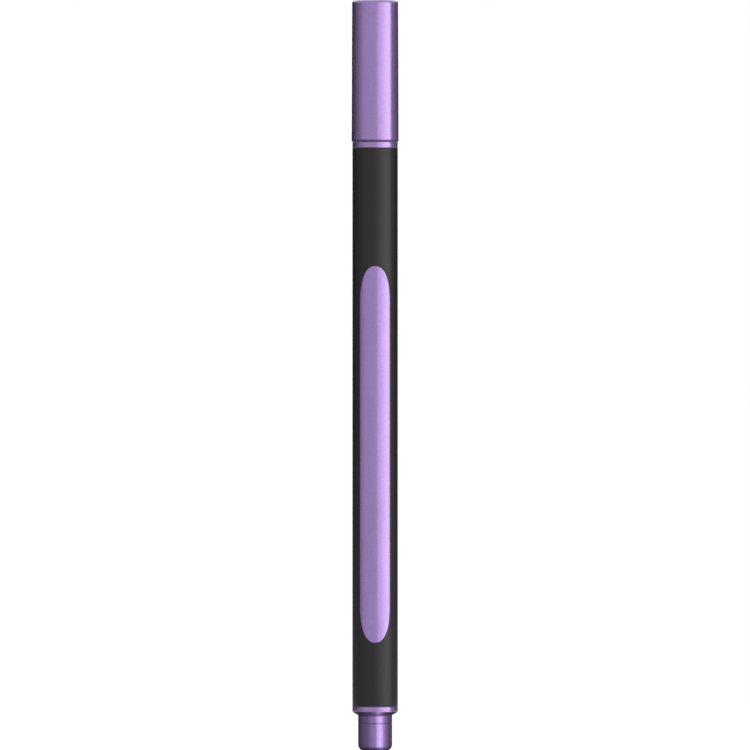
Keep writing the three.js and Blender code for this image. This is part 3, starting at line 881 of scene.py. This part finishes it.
# The dish round the marker's foot: radius and height in millimetres, and a share of its level. Its dim
# middle round the foot is a painted contact shadow, and its narrow black rim a painted dark line in what
# the foot mirrors.
DISH_RADIUS = 5.2
DISH_LIP = 6.8
DISH_RIM = 6.81
DISH_HEIGHT = 6.9
DISH_ROWS = (
    (0, 0, 0.1), (2.8, 0, 0.12), (3.15, 0, 0.19), (3.9, 0, 0.7), (4.4, 0, 1), (DISH_RADIUS, 0, 1),
    (DISH_RADIUS, DISH_LIP, 1), (DISH_RADIUS, DISH_RIM, 0), (DISH_RADIUS, DISH_HEIGHT, 0),
)
# Brightness of the dish by the azimuth that is mirrored in it, and at the back
DISH_LEVEL = (
    (-180, 0.02), (-130, 0.06), (-84, 0.23), (-52, 0.3), (-25, 0.7), (3, 0.88), (17, 2.2), (31, 2.65),
    (45, 2.55), (53, 1.7), (61, 0.95), (77, 0.6), (96, 0.24), (120, 0.1), (180, 0.02),
)
DISH_BACK = 0.9
DISH_BACK_COLUMNS = 30

# The camera in metres, and where the photograph has the marker in pixels
CAMERA_DISTANCE = 5.0
CAMERA_SIGHT = 200
PIXEL = 0.19855 * MM
FRAME_PIXELS = 750
CAMERA_RIGHT = -0.11
FOOT_ROW = 750.6


def seen_directly(f):
    """1 for camera, glossy and transmission rays, 0 for the rest."""
    path = "ShaderNodeLightPath"
    seen = f.node(path, output="Is Camera Ray") + f.node(path, output="Is Glossy Ray")
    seen = seen + f.node(path, output="Is Transmission Ray")
    return f.node("ShaderNodeMath", {"operation": "MINIMUM"}, {0: seen, 1: 1.0})


def white_world():
    """A soft grey light for what is matt, and plain white for direct rays."""
    f = Finish(bpy.data.worlds.new("white_surround"))
    soft = f.node("ShaderNodeBackground", {}, {"Color": (1, 1, 1, 1), "Strength": AMBIENT})
    white = f.node("ShaderNodeBackground", {}, {"Color": (1, 1, 1, 1), "Strength": 1.0})
    shader = f.node("ShaderNodeMixShader", {}, {0: seen_directly(f), 1: soft, 2: white})
    f.node("ShaderNodeOutputWorld", {}, {"Surface": shader})
    bpy.context.scene.world = f.owner


def floor():
    """A pale floor at the marker's foot. It keeps the shadow, and a glow for direct rays whitens it."""
    half = FLOOR_SIZE / 2
    mesh = bpy.data.meshes.new("floor")
    corners = [(-half, -half, 0), (half, -half, 0), (half, half, 0), (-half, half, 0)]
    mesh.from_pydata(corners, [], [(0, 1, 2, 3)])
    f = new_finish("pale_floor")
    matt = f.node("ShaderNodeBsdfDiffuse", {}, {"Color": (FLOOR_DIFFUSE,) * 3 + (1,)})
    glow = f.node("ShaderNodeEmission", {}, {"Color": (1, 1, 1, 1), "Strength": FLOOR_GLOW})
    both = f.node("ShaderNodeAddShader", {}, {0: matt, 1: glow})
    shader = f.node("ShaderNodeMixShader", {}, {0: seen_directly(f), 1: matt, 2: both})
    f.node("ShaderNodeOutputMaterial", {}, {"Surface": shader})
    mesh.materials.append(f.owner)
    obj = bpy.data.objects.new("floor", mesh)
    bpy.context.scene.collection.objects.link(obj)


def soft_box(start, end, radiance):
    """An upright rectangular lamp that faces the axis and fills the view from it between two azimuths."""
    name = f"soft_box_{start}"
    lamp = bpy.data.lights.new(name, "AREA")
    lamp.shape = "RECTANGLE"
    lamp.size = 2 * SOFT_BOX_DISTANCE * math.tan(math.radians(end - start) / 2)
    lamp.size_y = SOFT_BOX_HEIGHT
    lamp.energy = radiance * lamp.size * lamp.size_y * math.pi
    obj = bpy.data.objects.new(name, lamp)
    a = math.radians((start + end) / 2)
    obj.location = around_axis(a, SOFT_BOX_DISTANCE, SOFT_BOX_LEVEL)
    obj.rotation_euler = (math.pi / 2, 0, a)
    bpy.context.scene.collection.objects.link(obj)


def gloss_level(t):
    """Brightness that gloss meets at azimuth t, in degrees: white in front, the soft boxes on the
    right, and on both sides a fall as a power to nothing at the back."""
    left = (1 - np.clip((WHITE_FROM - t) / (WHITE_FROM + DARK_FROM), 0, 1)) ** LEFT_FALL
    right = RIGHT_GREY * (1 - np.clip((t - BOXES_END) / (DARK_FROM - BOXES_END), 0, 1)) ** RIGHT_FALL
    boxes = sum(radiance * (t > start) for start, radiance in SOFT_BOXES)
    return np.where(t < BOXES_END, left + boxes, right)


def gloss_card(name, points, level):
    """A card that only gloss sees: a grid of points, each with the brightness that it gives."""
    skin = Skin()
    skin.grid(points)
    mesh = bpy.data.meshes.new(name)
    mesh.from_pydata(np.concatenate(skin.points).tolist(), [], skin.faces)
    shade = mesh.attributes.new("shade", "FLOAT", "POINT")
    shade.data.foreach_set("value", np.broadcast_to(level, points.shape[:2]).astype(np.float32).ravel())
    f = new_finish(name)
    grey = f.node("ShaderNodeAttribute", {"attribute_name": "shade"}, output="Fac")
    glow = f.node("ShaderNodeEmission", {}, {"Color": (1, 1, 1, 1), "Strength": grey})
    f.node("ShaderNodeOutputMaterial", {}, {"Surface": glow})
    mesh.materials.append(f.owner)
    obj = bpy.data.objects.new(name, mesh)
    bpy.context.scene.collection.objects.link(obj)
    obj.visible_camera = False
    obj.visible_diffuse = False
    obj.visible_shadow = False
    obj.visible_transmission = False


def upright_card(name, start, end, level=None, radius=SCREEN_RADIUS, ends=(0, SCREEN_HEIGHT)):
    """A curved screen round the marker between two azimuths and two heights, with the level given
    or else as bright as gloss_level says."""
    t = np.linspace(start, end, SCREEN_COLUMNS)
    points = around_axis(np.radians(t)[None, :], radius, np.array(ends)[:, None])
    gloss_card(name, points, gloss_level(t) if level is None else level)


def floor_card():
    """A ring on the floor as bright as what stands behind it, with its inner part whitened and
    dimmer at the marker's foot, a painted contact shadow."""
    t = np.linspace(-180, 180, 181)[None, :]
    radius, share, white = np.array(FLOOR_RINGS, float).T[:, :, None]
    level = gloss_level(t)
    shade = share * (level + white * np.maximum(FLOOR_WHITE - level, 0))
    gloss_card("floor_card", around_axis(np.radians(t), radius * MM, CARD_LIFT), shade)


def foot_card():
    """An open dish with a narrow black rim and a dim middle, painted shade in what the marker's foot
    mirrors. The column for azimuth t stands at t - asin(q sin(t / 2)),
    where a stub q times as wide as the dish mirrors it to the camera. Behind the stub a bump of
    brightness, as the square of a sine, closes the gap."""
    t = np.linspace(-180, 180, 181)
    parallax = np.arcsin(POST_RADIUS / DISH_RADIUS * np.sin(np.radians(t / 2)))
    angle = np.radians(t) - parallax
    behind = np.linspace(angle[-1], FULL_TURN + angle[0], DISH_BACK_COLUMNS)
    level = np.interp(t, *zip(*DISH_LEVEL))
    bump = level[0] + DISH_BACK * np.sin(np.linspace(0, math.pi, DISH_BACK_COLUMNS)) ** 2
    level = np.concatenate([level, bump])
    radius, height, share = np.array(DISH_ROWS).T[:, :, None]
    angle = np.concatenate([angle, behind])[None, :]
    points = around_axis(angle, radius * MM, height * MM + 2 * CARD_LIFT)
    gloss_card("foot_card", points, level * share)


def camera():
    """Level, far off and square on, so that the frame's rows and columns are the photograph's."""
    lens = bpy.data.cameras.new("camera")
    lens.lens = lens.sensor_width * CAMERA_DISTANCE / (FRAME_PIXELS * PIXEL)
    lens.clip_end = CAMERA_SIGHT
    obj = bpy.data.objects.new("camera", lens)
    obj.location = (CAMERA_RIGHT * PIXEL, -CAMERA_DISTANCE, (FOOT_ROW - FRAME_PIXELS / 2) * PIXEL)
    obj.rotation_euler = (math.pi / 2, 0, 0)
    bpy.context.scene.collection.objects.link(obj)
    bpy.context.scene.camera = obj


white_world()
floor()
for start, radiance in SOFT_BOXES:
    soft_box(start, BOXES_END, radiance)
upright_card("card_left", -DARK_FROM, WHITE_FROM)
upright_card("card_right", BOXES_END, DARK_FROM)
upright_card("card_back", DARK_FROM, 360 - DARK_FROM, REAR_STRIP)
upright_card(
    "card_over_boxes", SOFT_BOXES[0][0], BOXES_END, 1.0, TOP_CARD_RADIUS, (TOP_CARD_BOTTOM, TOP_CARD_TOP)
)
floor_card()
foot_card()
camera()
bpy.context.scene.view_settings.view_transform = "Standard"
